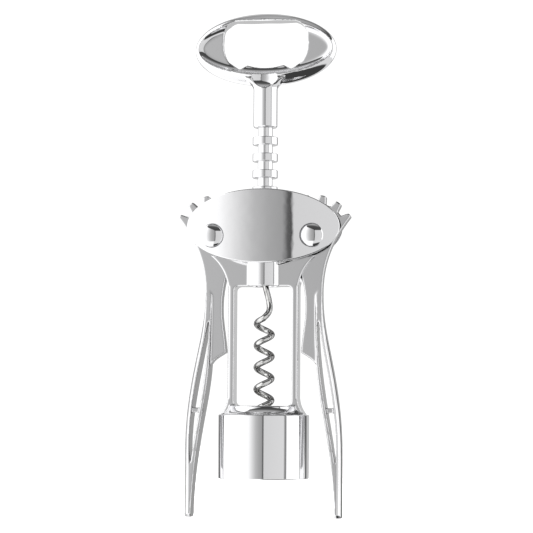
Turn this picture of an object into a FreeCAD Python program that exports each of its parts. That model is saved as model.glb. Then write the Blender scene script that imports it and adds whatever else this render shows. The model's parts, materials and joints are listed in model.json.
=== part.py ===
import FreeCAD, Part
import math
import os

# Lever (wing) corkscrew. Origin: centre of the bell's mouth, on the worm's axis.
# +Z runs up to the handle, X across the two levers, -Y is the front. All sizes in mm.
# The levers hang down and the rack stands at the top of its travel.

V = FreeCAD.Vector

# Round rack and the levers' gear segments
MODULE = 2.0
GEAR_TEETH = 15
GEAR_FIRST_TOOTH = -1
GEAR_LAST_TOOTH = 6
TOOTH_WIDTH_TIP = 1.15 * MODULE
TOOTH_WIDTH_ROOT = 1.85 * MODULE
TOOTH_CORNER_ROUND = 0.32 * MODULE
RACK_RING_RADIUS = 4.8
RACK_CORE_RADIUS = 2.8
RACK_RING_THICKNESS = 1.55 * MODULE
RACK_RING_CHAMFER = 0.35
RACK_FIRST_RING = -1
RACK_LAST_RING = 6
RACK_RING_OFFSET = -1.35
RACK_NECK_GAP = 3.5
RACK_LAND_LENGTH = 5.5
RACK_BOTTOM_RISE = 0.3
RACK_END_GAP = 0.05

# Heights on the frame
PIVOT_Z = 90.7
CROSSBAR_Z = 72.0
FOOT_TOP_Z = 27.2

# Head: two cheeks with the levers between them, and a cover plate on each side
LEVER_THICKNESS = 5.0
LEVER_SIDE_PLAY = 0.1
WASHER_THICKNESS = 0.3
CHEEK_THICKNESS = 1.5
PAD_THICKNESS = 0.6
PLATE_OVERHANG_X = 10.1
PLATE_HALF_HEIGHT = 13.9
PLATE_RISE = 3.6
PLATE_THICKNESS = 5.6
PLATE_CROWN_RADIUS = 88.0
PLATE_EDGE_ROUND = 0.5
CHEEK_INSET = 1.2
CORE_BELOW_PIVOT = 5.0
BRIDGE_ABOVE_PIVOT = 8.0
BRIDGE_WALL = 1.95
BOSS_WALL = 2.4
RACK_CLEARANCE = 0.1
GEAR_SWEEP_CLEARANCE = 0.5

# Legs and foot
LEG_WIDTH = 2.4
LEG_INSET = 2.85
SHOULDER_INSET = 3.05
LEG_EDGE_ROUND = 0.9
WINDOW_CORNER_RADIUS = 1.8
SHOULDER_BEND = 0.32
LEG_ROOT_RISE = 2.6
LEG_ROOT_BEND_X = 0.75
THROAT_CLEARANCE = 0.4
FLARE_TO_PIVOT_X = 1.2
FLARE_TO_PIVOT_Z = -7.2
FLARE_BOW_X = 2.4
FLARE_BOW_SHARE = 0.58
LEDGE_WIDTH_SHARE = 0.72
LEDGE_RISE = 0.6
LEDGE_SHOW = 0.3

# Bell: sleeve with a liner that sits over the bottle's lip
BELL_HEIGHT = 23.9
BELL_WALL = 0.9
BELL_EDGE_CHAMFER = 0.4
COLLAR_BORE_RADIUS = 15.1
LINER_WALL = 1.05
COLLAR_DEPTH = 20.3

# Pivot rivets
RIVET_RADIUS = 2.5
RIVET_CLEARANCE = 0.06
RIVET_HEAD_RADIUS = 4.35
RIVET_HEAD_HEIGHT = 2.1
RIVET_HEAD_EDGE = 0.5
RIVET_SEAT_RISE = 2.9
RIVET_SEAT_MARGIN = 0.2
RIVET_TAIL = 0.9
WASHER_RADIUS = 5.5

# Levers
LEVER_LENGTH = 105.1
BLADE_HALF_DEPTH = 5.0
BLADE_TIP_HALF_DEPTH = 4.3
TIE_HEIGHT = 1.8
TIE_DROP = 64.3
TIE_HALF_DEPTH = 3.4
TIE_LOW_X = 3.6
TIE_HIGH_X = 9.2
SWELL_START = 20.0
SWELL_END = 46.0
SWELL_FLAT = 14.0
TIP_CORNER = 1.2

# Worm and its shank
WIRE_RADIUS = 1.15
WORM_RADIUS = 4.0
WORM_PITCH = 8.2
WORM_TOP_Z = 59.85
WORM_TAPER_Z = 25.0
WORM_TIP_Z = 21.6
WORM_TIP_RADIUS = 0.2
SHANK_START_Z = 74.3
SHANK_SLEEVE_CLEARANCE = 0.06
COLLAR_RADIUS = 2.1
COLLAR_LENGTH = 2.4
COLLAR_POCKET_CLEARANCE = 0.1

# Opener handle
NECK_RADIUS = 4.575
NECK_LENGTH = 15.0
NECK_FLARE = [(0.9, 1.4), (2.6, 2.8), (4.2, 3.9)]
NECK_BOTTOM_CHAMFER = 0.4
NECK_TO_RING_Z = 29.9
RING_HALF_WIDTH = 27.0
RING_HALF_HEIGHT = 13.8
RING_HALF_DEPTH = 4.6
RING_BULGE_Y = 7.0
WEB_HALF_THICKNESS = 1.3
DISH_HALF_WIDTH = 26.3
DISH_HALF_HEIGHT = 10.3
DISH_FILLET = 2.9
DISH_RISE = 0.6
SCOOP_HALF_WIDTH = 5.2
SCOOP_HALF_HEIGHT = 3.9
SCOOP_HALF_DEPTH = 2.4
SCOOP_STANDOFF = 0.8
SCOOP_DROP = 11.3
PIN_RADIUS = 1.0
PIN_RISE = 7.0
SHANK_IN_HANDLE = 12.0

# Values that follow from the sizes above
PITCH_RADIUS = MODULE * GEAR_TEETH / 2.0
RACK_PITCH = math.pi * MODULE
PIVOT_X = PITCH_RADIUS + RACK_RING_RADIUS - MODULE / 2.0
GEAR_TIP_RADIUS = PITCH_RADIUS + 0.4 * MODULE
GEAR_ROOT_RADIUS = PITCH_RADIUS - 1.1 * MODULE
LEVER_Y = LEVER_THICKNESS / 2.0
CHEEK_Y = LEVER_Y + LEVER_SIDE_PLAY + WASHER_THICKNESS
PAD_Y = CHEEK_Y + CHEEK_THICKNESS
PLATE_Y = PAD_Y + PAD_THICKNESS
PLATE_CROWN_Y = PLATE_Y + PLATE_THICKNESS
RIVET_SEAT_Y = PLATE_Y + RIVET_SEAT_RISE
RACK_BORE_RADIUS = RACK_RING_RADIUS + RACK_CLEARANCE
BOSS_RADIUS = RACK_BORE_RADIUS + BOSS_WALL
BRIDGE_HALF_WIDTH = RACK_BORE_RADIUS + BRIDGE_WALL
BELL_INNER_RADIUS = COLLAR_BORE_RADIUS + LINER_WALL
BELL_RADIUS = BELL_INNER_RADIUS + BELL_WALL
SHOULDER_TOP_RADIUS = BELL_INNER_RADIUS - SHOULDER_INSET
LEG_OUTER_X = BELL_INNER_RADIUS - LEG_INSET
LEG_INNER_X = LEG_OUTER_X - LEG_WIDTH
THROAT_RADIUS = LEG_INNER_X - THROAT_CLEARANCE
PLATE_HALF_WIDTH = PIVOT_X + PLATE_OVERHANG_X
PLATE_Z = PIVOT_Z + PLATE_RISE
HELIX_RADIUS = WORM_RADIUS - WIRE_RADIUS
TOP_RING_Z = PIVOT_Z + RACK_RING_OFFSET + RACK_LAST_RING * RACK_PITCH
RACK_TOP_Z = TOP_RING_Z + RACK_RING_THICKNESS / 2.0 + RACK_NECK_GAP
NECK_BOTTOM_Z = RACK_TOP_Z
RING_Z = NECK_BOTTOM_Z + NECK_TO_RING_Z
RACK_BOTTOM_Z = SHANK_START_Z + RACK_BOTTOM_RISE
BOSS_TOP_Z = PLATE_Z - PLATE_HALF_HEIGHT + 3.0
CUT = 60.0


# Small helpers for flat outlines in the XZ plane

def line(a, b):
    return Part.LineSegment(V(a[0], 0, a[1]), V(b[0], 0, b[1])).toShape()


def curve(points):
    spline = Part.BSplineCurve()
    spline.interpolate([V(x, 0, z) for x, z in points])
    return spline.toShape()


def arc(a, b, c):
    return Part.Arc(V(a[0], 0, a[1]), V(b[0], 0, b[1]), V(c[0], 0, c[1])).toShape()


def slab(edges, y_low, y_high):
    face = Part.Face(Part.Wire(edges))
    face.translate(V(0, y_low, 0))
    return face.extrude(V(0, y_high - y_low, 0))


def polygon(points, y_low, y_high):
    closed = points + [points[0]]
    return slab([line(a, b) for a, b in zip(closed, closed[1:])], y_low, y_high)


def block(x_low, x_high, y_low, y_high, z_low, z_high):
    corner = V(x_low, y_low, z_low)
    return Part.makeBox(x_high - x_low, y_high - y_low, z_high - z_low, corner)


def post(radius, z_low, z_high):
    return Part.makeCylinder(radius, z_high - z_low, V(0, 0, z_low), V(0, 0, 1))


def axle(radius, x, z, y_low, y_high):
    return Part.makeCylinder(radius, y_high - y_low, V(x, y_low, z), V(0, 1, 0))


def oval(half_width, half_height, z, y_low, y_high):
    rim = Part.Ellipse(V(half_width, 0, z), V(0, 0, z + half_height), V(0, 0, z))
    return slab([rim.toShape()], y_low, y_high)


def turned(points):
    edges = []
    closed = points + [points[0]]
    for a, b in zip(closed, closed[1:]):
        edges.append(line(a, b))
    return Part.Face(Part.Wire(edges)).revolve(V(0, 0, 0), V(0, 0, 1), 360)


def ellipsoid(half_x, half_y, half_z, centre):
    ball = Part.makeSphere(1.0, V(0, 0, 0), V(0, 1, 0))
    matrix = FreeCAD.Matrix()
    matrix.scale(half_x, half_y, half_z)
    body = ball.transformGeometry(matrix)
    body.translate(centre)
    return body


def left_of(shape):
    return shape.mirror(V(0, 0, 0), V(1, 0, 0))


def rear_of(shape):
    return shape.mirror(V(0, 0, 0), V(0, 1, 0))


def only_solid(shape):
    assert len(shape.Solids) == 1, "a piece fell apart"
    solid = shape.Solids[0]
    assert solid.isValid() and solid.Volume > 0.0, "a piece is not a sound solid"
    return solid


def one_solid(shape):
    """The single solid of a shape, with the seams between its flush faces merged."""
    return only_solid(shape.removeSplitter())


# Frame casting: legs, crossbar, boss, the two cheeks of the head, and the foot

def cheek_outline(y_low, y_high):
    """One cheek: an oval behind the cover plate and a flare that runs down into the legs."""
    flare_x = PIVOT_X + FLARE_TO_PIVOT_X
    flare_z = PIVOT_Z + FLARE_TO_PIVOT_Z
    low = (LEG_OUTER_X, CROSSBAR_Z)
    middle = (LEG_OUTER_X + FLARE_BOW_X, CROSSBAR_Z + FLARE_BOW_SHARE * (flare_z - CROSSBAR_Z))
    high = (flare_x, flare_z)
    edges = [
        arc(low, middle, high),
        line(high, (-high[0], high[1])),
        arc((-high[0], high[1]), (-middle[0], middle[1]), (-low[0], low[1])),
        line((-low[0], low[1]), low),
    ]
    flare = slab(edges, y_low, y_high)
    head = oval(PLATE_HALF_WIDTH - CHEEK_INSET, PLATE_HALF_HEIGHT - CHEEK_INSET, PLATE_Z, y_low, y_high)
    return flare.fuse(head)


def pad_outline(y_low, y_high):
    """The seat of a cover plate, which shows as a narrow ledge under the plate beside the boss."""
    head = oval(PLATE_HALF_WIDTH - CHEEK_INSET, PLATE_HALF_HEIGHT - CHEEK_INSET, PLATE_Z, y_low, y_high)
    ledge_half_width = PLATE_HALF_WIDTH * LEDGE_WIDTH_SHARE
    ledge = oval(ledge_half_width, PLATE_HALF_HEIGHT + LEDGE_SHOW, PLATE_Z - LEDGE_RISE, y_low, y_high)
    lower_half = block(-CUT, CUT, y_low, y_high, PLATE_Z - CUT, PLATE_Z)
    return head.fuse(ledge.common(lower_half))


def leg():
    bar = block(LEG_INNER_X, LEG_OUTER_X, -PAD_Y, PAD_Y, FOOT_TOP_Z - 2.0, CROSSBAR_Z + 1.0)
    outer = [e for e in bar.Edges
             if abs(e.BoundBox.XMin - LEG_OUTER_X) < 1e-6 and e.BoundBox.ZLength > CROSSBAR_Z / 3.0]
    return bar.makeFillet(LEG_EDGE_ROUND, outer)


def window_corner(z_edge, direction):
    """A small concave corner between a leg's inner side and the crossbar or the foot."""
    r = WINDOW_CORNER_RADIUS
    square = block(LEG_INNER_X - r, LEG_INNER_X + 0.5, -PAD_Y, PAD_Y,
                   min(z_edge, z_edge + direction * r), max(z_edge, z_edge + direction * r))
    hole = axle(r, LEG_INNER_X - r, z_edge + direction * r, -PAD_Y - 1.0, PAD_Y + 1.0)
    return square.cut(hole)


def foot():
    z0 = COLLAR_DEPTH
    low = (BELL_INNER_RADIUS, BELL_HEIGHT)
    high = (SHOULDER_TOP_RADIUS, FOOT_TOP_Z)
    span_r = BELL_INNER_RADIUS - SHOULDER_TOP_RADIUS
    span_z = FOOT_TOP_Z - BELL_HEIGHT
    middle = (SHOULDER_TOP_RADIUS + SHOULDER_BEND * span_r, BELL_HEIGHT + SHOULDER_BEND * span_z)
    edges = [
        line((THROAT_RADIUS, z0), (BELL_INNER_RADIUS, z0)),
        line((BELL_INNER_RADIUS, z0), low),
        arc(low, middle, high),
        line(high, (THROAT_RADIUS, FOOT_TOP_Z)),
        line((THROAT_RADIUS, FOOT_TOP_Z), (THROAT_RADIUS, z0)),
    ]
    return Part.Face(Part.Wire(edges)).revolve(V(0, 0, 0), V(0, 0, 1), 360)


def leg_root():
    """The concave shoulder that carries a leg's outer side down onto the foot."""
    top = (LEG_OUTER_X, FOOT_TOP_Z + LEG_ROOT_RISE)
    end = (BELL_INNER_RADIUS - 0.5, BELL_HEIGHT + 0.3)
    bend = (LEG_OUTER_X + LEG_ROOT_BEND_X, FOOT_TOP_Z - 0.4)
    edges = [
        arc(top, bend, end),
        line(end, (LEG_INNER_X, end[1])),
        line((LEG_INNER_X, end[1]), (LEG_INNER_X, top[1])),
        line((LEG_INNER_X, top[1]), top),
    ]
    wedge = slab(edges, -PAD_Y, PAD_Y)
    return wedge.common(post(BELL_INNER_RADIUS - 0.05, BELL_HEIGHT, FOOT_TOP_Z + 10.0))


def frame_casting():
    front = cheek_outline(-PAD_Y, -CHEEK_Y).fuse(pad_outline(-PLATE_Y, -PAD_Y))
    head_top = PLATE_Z + PLATE_HALF_HEIGHT
    core = block(-LEG_OUTER_X, LEG_OUTER_X, -CHEEK_Y, CHEEK_Y, CROSSBAR_Z, PIVOT_Z - CORE_BELOW_PIVOT)
    bridge = block(-BRIDGE_HALF_WIDTH, BRIDGE_HALF_WIDTH, -CHEEK_Y, CHEEK_Y,
                   PIVOT_Z + BRIDGE_ABOVE_PIVOT, head_top)
    bridge = bridge.common(oval(PLATE_HALF_WIDTH - CHEEK_INSET, PLATE_HALF_HEIGHT - CHEEK_INSET,
                                PLATE_Z, -CHEEK_Y, CHEEK_Y))
    boss = post(BOSS_RADIUS, CROSSBAR_Z, BOSS_TOP_Z)
    body = front.fuse([rear_of(front), core, bridge, boss])
    sweep_radius = GEAR_TIP_RADIUS + GEAR_SWEEP_CLEARANCE
    for side in (-1, 1):
        body = body.cut(axle(sweep_radius, side * PIVOT_X, PIVOT_Z, -CHEEK_Y, CHEEK_Y))
    side_parts = [leg(), leg_root(), window_corner(CROSSBAR_Z, -1), window_corner(FOOT_TOP_Z, 1)]
    mirrored = [left_of(part) for part in side_parts]
    for part in side_parts + mirrored + [foot()]:
        body = body.fuse(part)
    body = body.cut(post(RACK_BORE_RADIUS, CROSSBAR_Z - 1.0, head_top + 1.0))
    for side in (-1, 1):
        body = body.cut(axle(RIVET_RADIUS, side * PIVOT_X, PIVOT_Z, -CUT, CUT))
    return one_solid(body)


# Cover plates, with a seat for each rivet head

def front_plate():
    crown = Part.makeCylinder(PLATE_CROWN_RADIUS, CUT,
                              V(0, PLATE_CROWN_RADIUS - PLATE_CROWN_Y, PLATE_Z - CUT / 2.0))
    plate = oval(PLATE_HALF_WIDTH, PLATE_HALF_HEIGHT, PLATE_Z, -PLATE_CROWN_Y - 1.0, -PLATE_Y)
    plate = plate.common(crown)
    rim = [e for e in plate.Edges
           if e.BoundBox.YMin < -PLATE_Y - 0.05 and e.BoundBox.XLength > 2.0 and e.BoundBox.ZLength > 2.0]
    plate = plate.makeFillet(PLATE_EDGE_ROUND, rim)
    plate = plate.cut(post(BOSS_RADIUS, CROSSBAR_Z, BOSS_TOP_Z))
    plate = plate.cut(post(RACK_BORE_RADIUS, CROSSBAR_Z, PLATE_Z + CUT))
    for side in (-1, 1):
        x = side * PIVOT_X
        seat = axle(RIVET_HEAD_RADIUS + RIVET_SEAT_MARGIN, x, PIVOT_Z, -CUT, -RIVET_SEAT_Y)
        plate = plate.cut(seat).cut(axle(RIVET_RADIUS, x, PIVOT_Z, -CUT, CUT))
    return one_solid(plate)


# Pivot rivets: domed head at the front, tail closed by a domed cap at the rear

def dome(x, y_base, direction):
    r = RIVET_HEAD_RADIUS
    h = RIVET_HEAD_HEIGHT
    rise = h - RIVET_HEAD_EDGE
    ball_radius = (r * r + rise * rise) / (2.0 * rise)
    centre_y = y_base + direction * (h - ball_radius)
    ball = Part.makeSphere(ball_radius, V(x, centre_y, PIVOT_Z))
    y_low = min(y_base, y_base + direction * h)
    return ball.common(axle(r, x, PIVOT_Z, y_low, y_low + h))


def rivet(x):
    shaft = axle(RIVET_RADIUS, x, PIVOT_Z, -RIVET_SEAT_Y, RIVET_SEAT_Y + RIVET_TAIL)
    return one_solid(shaft.fuse(dome(x, -RIVET_SEAT_Y, -1)))


def rivet_cap(x):
    tail_hole = axle(RIVET_RADIUS, x, PIVOT_Z, RIVET_SEAT_Y - 1.0, RIVET_SEAT_Y + RIVET_TAIL)
    return one_solid(dome(x, RIVET_SEAT_Y, 1).cut(tail_hole))


def washer(x, y_low):
    ring = axle(WASHER_RADIUS, x, PIVOT_Z, y_low, y_low + WASHER_THICKNESS)
    return ring.cut(axle(RIVET_RADIUS, x, PIVOT_Z, y_low - 1.0, y_low + 1.0))


# Bell

def bell_sleeve():
    c = BELL_EDGE_CHAMFER
    return turned([
        (BELL_INNER_RADIUS, 0),
        (BELL_RADIUS - c, 0),
        (BELL_RADIUS, c),
        (BELL_RADIUS, BELL_HEIGHT - c),
        (BELL_RADIUS - c, BELL_HEIGHT),
        (BELL_INNER_RADIUS, BELL_HEIGHT),
    ])


def bell_liner():
    return post(BELL_INNER_RADIUS, 0, COLLAR_DEPTH).cut(post(COLLAR_BORE_RADIUS, -1.0, COLLAR_DEPTH + 1.0))


# Levers: the right one, in coordinates from its pivot, then mirrored

def from_pivot(points):
    return [(PIVOT_X + x, PIVOT_Z + z) for x, z in points]


def lobe_edge():
    """The lobe's inner side, which keeps its distance from the leg."""
    return [(LEG_OUTER_X + x, PIVOT_Z + z) for x, z in LOBE_EDGE]


def lobe_underside():
    """From the blade to the lobe's low corner; each point is a share of the way across."""
    start = PIVOT_X + INNER_EDGE[-1][0]
    end = LEG_OUTER_X + LOBE_EDGE[0][0]
    return [(start + share * (end - start), PIVOT_Z + z) for share, z in LOBE_UNDERSIDE]


def gear_tooth(index):
    """A rounded trapezoid that stands in the space between two rack rings."""
    first_space = (RACK_RING_OFFSET + RACK_PITCH / 2.0) / PITCH_RADIUS
    angle = math.degrees(first_space) + index * 360.0 / GEAR_TEETH
    base = GEAR_ROOT_RADIUS - 1.0
    tip = TOOTH_WIDTH_TIP / 2.0
    root = TOOTH_WIDTH_ROOT / 2.0
    tooth = polygon([(-base, -root), (-GEAR_TIP_RADIUS, -tip), (-GEAR_TIP_RADIUS, tip), (-base, root)],
                    -LEVER_Y, LEVER_Y)
    corners = [e for e in tooth.Edges
               if abs(e.BoundBox.XMax + GEAR_TIP_RADIUS) < 1e-6 and e.BoundBox.YLength > 1.0]
    tooth = tooth.makeFillet(TOOTH_CORNER_ROUND, corners)
    tooth.rotate(V(0, 0, 0), V(0, 1, 0), angle)
    tooth.translate(V(PIVOT_X, 0, PIVOT_Z))
    return tooth


OUTER_EDGE = [
    (13.9, 7.3), (10.4, 2.4), (6.2, -5.5), (4.2, -12.4), (3.4, -20.0), (3.6, -28.0),
    (6.0, -42.4), (8.1, -53.1), (10.3, -69.0), (10.9, -84.0), (10.9, -LEVER_LENGTH),
]
INNER_EDGE = [
    (8.2, -LEVER_LENGTH), (6.6, -84.0), (5.0, -72.8), (2.7, -59.2), (1.5, -49.3),
]
LOBE_EDGE = [(0.9, -43.6), (1.6, -36.7), (2.4, -29.9), (2.0, -20.0), (-0.9, -10.0)]
LOBE_UNDERSIDE = [(0.0, -49.3), (0.14754, -47.4), (0.54098, -45.3), (1.0, -43.6)]
BLADE_TOP = [(1.5, -49.3), (1.1, -38.0), (1.0, -22.0)]
SLOT_OUTER = [(1.7, -28.5), (4.0, -42.4), (6.1, -53.1), (8.4, -69.0), (8.9, -80.0), (8.6, -86.5)]
SLOT_INNER = [(8.6, -86.5), (6.4, -72.8), (4.1, -59.2), (2.8, -49.3), (1.9, -38.0), (1.7, -28.5)]


def arm_plate():
    """The flat upper arm with its lobe, and the hub behind it."""
    outer = from_pivot(OUTER_EDGE)
    edges = [
        curve(outer),
        line(outer[-1], from_pivot(INNER_EDGE)[0]),
        curve(from_pivot(INNER_EDGE)),
        curve(lobe_underside()),
        curve(lobe_edge()),
        line(lobe_edge()[-1], outer[0]),
    ]
    return slab(edges, -LEVER_Y, LEVER_Y)


def inside_outer_edge():
    """Everything on the inner side of the lever's outer edge."""
    outer = from_pivot(OUTER_EDGE)
    far_x = PIVOT_X - CUT
    top_z = PIVOT_Z + CUT
    edges = [
        curve(outer),
        line(outer[-1], (far_x, outer[-1][1])),
        line((far_x, outer[-1][1]), (far_x, top_z)),
        line((far_x, top_z), (outer[0][0], top_z)),
        line((outer[0][0], top_z), outer[0]),
    ]
    return slab(edges, -LEVER_Y, LEVER_Y)


def side_profile():
    """The lever seen edge on: thin in the head, deep in the grip, a little less at the tip."""
    low = PIVOT_Z - LEVER_LENGTH
    start = PIVOT_Z - SWELL_START
    full = PIVOT_Z - SWELL_END
    corner = TIP_CORNER
    deep = BLADE_HALF_DEPTH
    tip = BLADE_TIP_HALF_DEPTH

    def swell(side):
        points = [V(0, side * LEVER_Y, start), V(0, side * (LEVER_Y + 0.35 * (deep - LEVER_Y)), start - 9.0),
                  V(0, side * deep, full), V(0, side * deep, full - SWELL_FLAT),
                  V(0, side * tip, low + corner)]
        spline = Part.BSplineCurve()
        spline.interpolate(points)
        return spline.toShape(), points[0], points[-1]

    front, front_top, front_low = swell(-1)
    rear, rear_top, rear_low = swell(1)
    a = V(0, -tip + corner, low)
    b = V(0, tip - corner, low)
    edges = [
        front,
        Part.LineSegment(front_low, a).toShape(),
        Part.LineSegment(a, b).toShape(),
        Part.LineSegment(b, rear_low).toShape(),
        rear,
        Part.LineSegment(rear_top, front_top).toShape(),
    ]
    return Part.Face(Part.Wire(Part.__sortEdges__(edges))).extrude(V(CUT, 0, 0))


def blade():
    """The deep grip below the arm, trimmed to the side profile."""
    outer = from_pivot(OUTER_EDGE)
    inner = from_pivot(INNER_EDGE)
    top = from_pivot(BLADE_TOP)
    edges = [
        curve(outer),
        line(outer[-1], inner[0]),
        curve(inner),
        curve(top),
        line(top[-1], outer[0]),
    ]
    return slab(edges, -CUT, CUT).common(side_profile())


def right_lever():
    hub = axle(GEAR_ROOT_RADIUS, PIVOT_X, PIVOT_Z, -LEVER_Y, LEVER_Y)
    teeth = [gear_tooth(i) for i in range(GEAR_FIRST_TOOTH, GEAR_LAST_TOOTH + 1)]
    head = hub.fuse(teeth).common(inside_outer_edge())
    lever = arm_plate().fuse([head, blade()])
    slot = slab([curve(from_pivot(SLOT_OUTER)), curve(from_pivot(SLOT_INNER))], -CUT, CUT)
    lever = lever.cut(slot)
    tie_z = PIVOT_Z - TIE_DROP
    tie = block(PIVOT_X + TIE_LOW_X, PIVOT_X + TIE_HIGH_X, -TIE_HALF_DEPTH, TIE_HALF_DEPTH,
                tie_z - TIE_HEIGHT, tie_z)
    lever = lever.fuse(tie)
    lever = lever.cut(axle(RIVET_RADIUS + RIVET_CLEARANCE, PIVOT_X, PIVOT_Z, -CUT, CUT))
    return one_solid(lever)


# Rack sleeve, worm, collar, handle and its pin

def rack_sleeve():
    body = post(RACK_CORE_RADIUS, RACK_BOTTOM_Z, RACK_TOP_Z - RACK_END_GAP)
    c = RACK_RING_CHAMFER
    r = RACK_RING_RADIUS
    parts = []
    for index in range(RACK_FIRST_RING, RACK_LAST_RING + 1):
        z = PIVOT_Z + RACK_RING_OFFSET + index * RACK_PITCH
        h = RACK_RING_THICKNESS / 2.0
        ring = [(0, z - h), (r - c, z - h), (r, z - h + c), (r, z + h - c), (r - c, z + h), (0, z + h)]
        parts.append(turned(ring))
    parts.append(post(r, RACK_BOTTOM_Z, RACK_BOTTOM_Z + RACK_LAND_LENGTH))
    body = body.fuse(parts)
    body = body.cut(post(WIRE_RADIUS + SHANK_SLEEVE_CLEARANCE, RACK_BOTTOM_Z - 1.0, RACK_TOP_Z + 1.0))
    pocket_top = RACK_BOTTOM_Z + COLLAR_LENGTH + 2.0 * COLLAR_POCKET_CLEARANCE
    body = body.cut(post(COLLAR_RADIUS + COLLAR_POCKET_CLEARANCE, RACK_BOTTOM_Z - 1.0, pocket_top))
    return one_solid(body)


def helix_edge(z_low, z_high):
    """The worm's centre line; at WORM_TOP_Z it passes the front of the axis."""
    edge = Part.makeHelix(WORM_PITCH, z_high - z_low, HELIX_RADIUS).Edges[0]
    turn = 270.0 - 360.0 * (WORM_TOP_Z - z_low) / WORM_PITCH
    edge.rotate(V(0, 0, 0), V(0, 0, 1), turn)
    edge.translate(V(0, 0, z_low))
    return edge


def wire_section(edge, parameter, radius):
    return Part.Wire(Part.makeCircle(radius, edge.valueAt(parameter), edge.tangentAt(parameter)))


def swept_wire(edge, radius_low, radius_high):
    sections = [wire_section(edge, edge.FirstParameter, radius_low),
                wire_section(edge, edge.LastParameter, radius_high)]
    return Part.Wire(edge).makePipeShell(sections, True, True)


def worm():
    coil = helix_edge(WORM_TAPER_Z, WORM_TOP_Z)
    tip = helix_edge(WORM_TIP_Z, WORM_TAPER_Z)
    start = coil.valueAt(coil.LastParameter)
    tangent = coil.tangentAt(coil.LastParameter)
    rise = Part.BSplineCurve()
    rise.interpolate([start, V(2.0, -1.3, WORM_TOP_Z + 2.9), V(1.75, -0.2, WORM_TOP_Z + 6.8),
                      V(0, 0, SHANK_START_Z)], InitialTangent=tangent, FinalTangent=V(0, 0, 1))
    shank = post(WIRE_RADIUS, SHANK_START_Z, NECK_BOTTOM_Z + SHANK_IN_HANDLE)
    pieces = [
        swept_wire(coil, WIRE_RADIUS, WIRE_RADIUS),
        swept_wire(rise.toShape(), WIRE_RADIUS, WIRE_RADIUS),
        swept_wire(tip, WORM_TIP_RADIUS, WIRE_RADIUS),
    ]
    body = shank.fuse(pieces)
    body = body.cut(pin_blank())
    return one_solid(body)


def shank_collar():
    z = RACK_BOTTOM_Z + COLLAR_POCKET_CLEARANCE
    return post(COLLAR_RADIUS, z, z + COLLAR_LENGTH).cut(post(WIRE_RADIUS, z - 1.0, z + COLLAR_LENGTH + 1.0))


def pin_blank():
    """A pin driven in from the rear of the neck, through the shank, short of the front."""
    z = NECK_BOTTOM_Z + PIN_RISE
    pin = Part.makeCylinder(PIN_RADIUS, NECK_RADIUS + 2.0, V(0, -2.0, z), V(0, 1, 0))
    return pin.common(post(NECK_RADIUS, z - 2.0 * PIN_RADIUS, z + 2.0 * PIN_RADIUS))


def opening_outline():
    """Crown cap opening: flat top, bowed sides, and two lugs with a shallow arc between them."""
    dz = RING_Z
    corner_in = (11.2, dz + 10.7)
    corner_mid = (14.6, dz + 8.7)
    side_top = (15.9, dz + 4.6)
    side_mid = (16.0, dz + 0.4)
    side_low = (14.1, dz - 4.6)
    notch = (9.9, dz - 7.5)
    lug = (6.9, dz - 5.9)

    def other(point):
        return (-point[0], point[1])

    return [
        line(other(corner_in), corner_in),
        arc(corner_in, corner_mid, side_top),
        arc(side_top, side_mid, side_low),
        line(side_low, notch),
        line(notch, lug),
        arc(lug, (0, dz - 7.0), other(lug)),
        line(other(lug), other(notch)),
        line(other(notch), other(side_low)),
        arc(other(side_low), other(side_mid), other(side_top)),
        arc(other(side_top), other(corner_mid), other(corner_in)),
    ]


def dish(side):
    """The cut for one recessed face of the ring: a flat floor that curves up to the rim."""
    floor_y = WEB_HALF_THICKNESS
    cut = oval(DISH_HALF_WIDTH, DISH_HALF_HEIGHT, RING_Z + DISH_RISE, -RING_HALF_DEPTH - 1.0, -floor_y)
    border = [e for e in cut.Edges if abs(e.BoundBox.YMin + floor_y) < 1e-3 and e.BoundBox.YLength < 1e-3]
    cut = cut.makeFillet(DISH_FILLET, border).Solids[0]
    return cut if side < 0 else rear_of(cut)


def opener_handle():
    ring = ellipsoid(RING_HALF_WIDTH, RING_BULGE_Y, RING_HALF_HEIGHT, V(0, 0, RING_Z))
    ring = ring.common(block(-CUT, CUT, -RING_HALF_DEPTH, RING_HALF_DEPTH, RING_Z - CUT, RING_Z + CUT))
    ring = ring.cut(slab(opening_outline(), -CUT, CUT))
    for side in (-1, 1):
        ring = ring.cut(dish(side))
    c = NECK_BOTTOM_CHAMFER
    low = NECK_BOTTOM_Z
    top = low + NECK_LENGTH
    flare = [(NECK_RADIUS + r, top + z) for r, z in NECK_FLARE]
    neck = turned([(0, low), (NECK_RADIUS - c, low), (NECK_RADIUS, low + c), (NECK_RADIUS, top)]
                  + flare + [(0, flare[-1][1])])
    depth_limit = block(-CUT, CUT, -RING_HALF_DEPTH, RING_HALF_DEPTH, low, top + CUT)
    body = ring.fuse(neck.common(depth_limit))
    for side in (-1, 1):
        scoop_centre = V(0, side * (RING_HALF_DEPTH + SCOOP_STANDOFF), RING_Z - SCOOP_DROP)
        body = body.cut(ellipsoid(SCOOP_HALF_WIDTH, SCOOP_HALF_DEPTH, SCOOP_HALF_HEIGHT, scoop_centre))
    body = body.cut(post(WIRE_RADIUS, low - 1.0, low + SHANK_IN_HANDLE)).cut(pin_blank())
    return only_solid(body)


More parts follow.
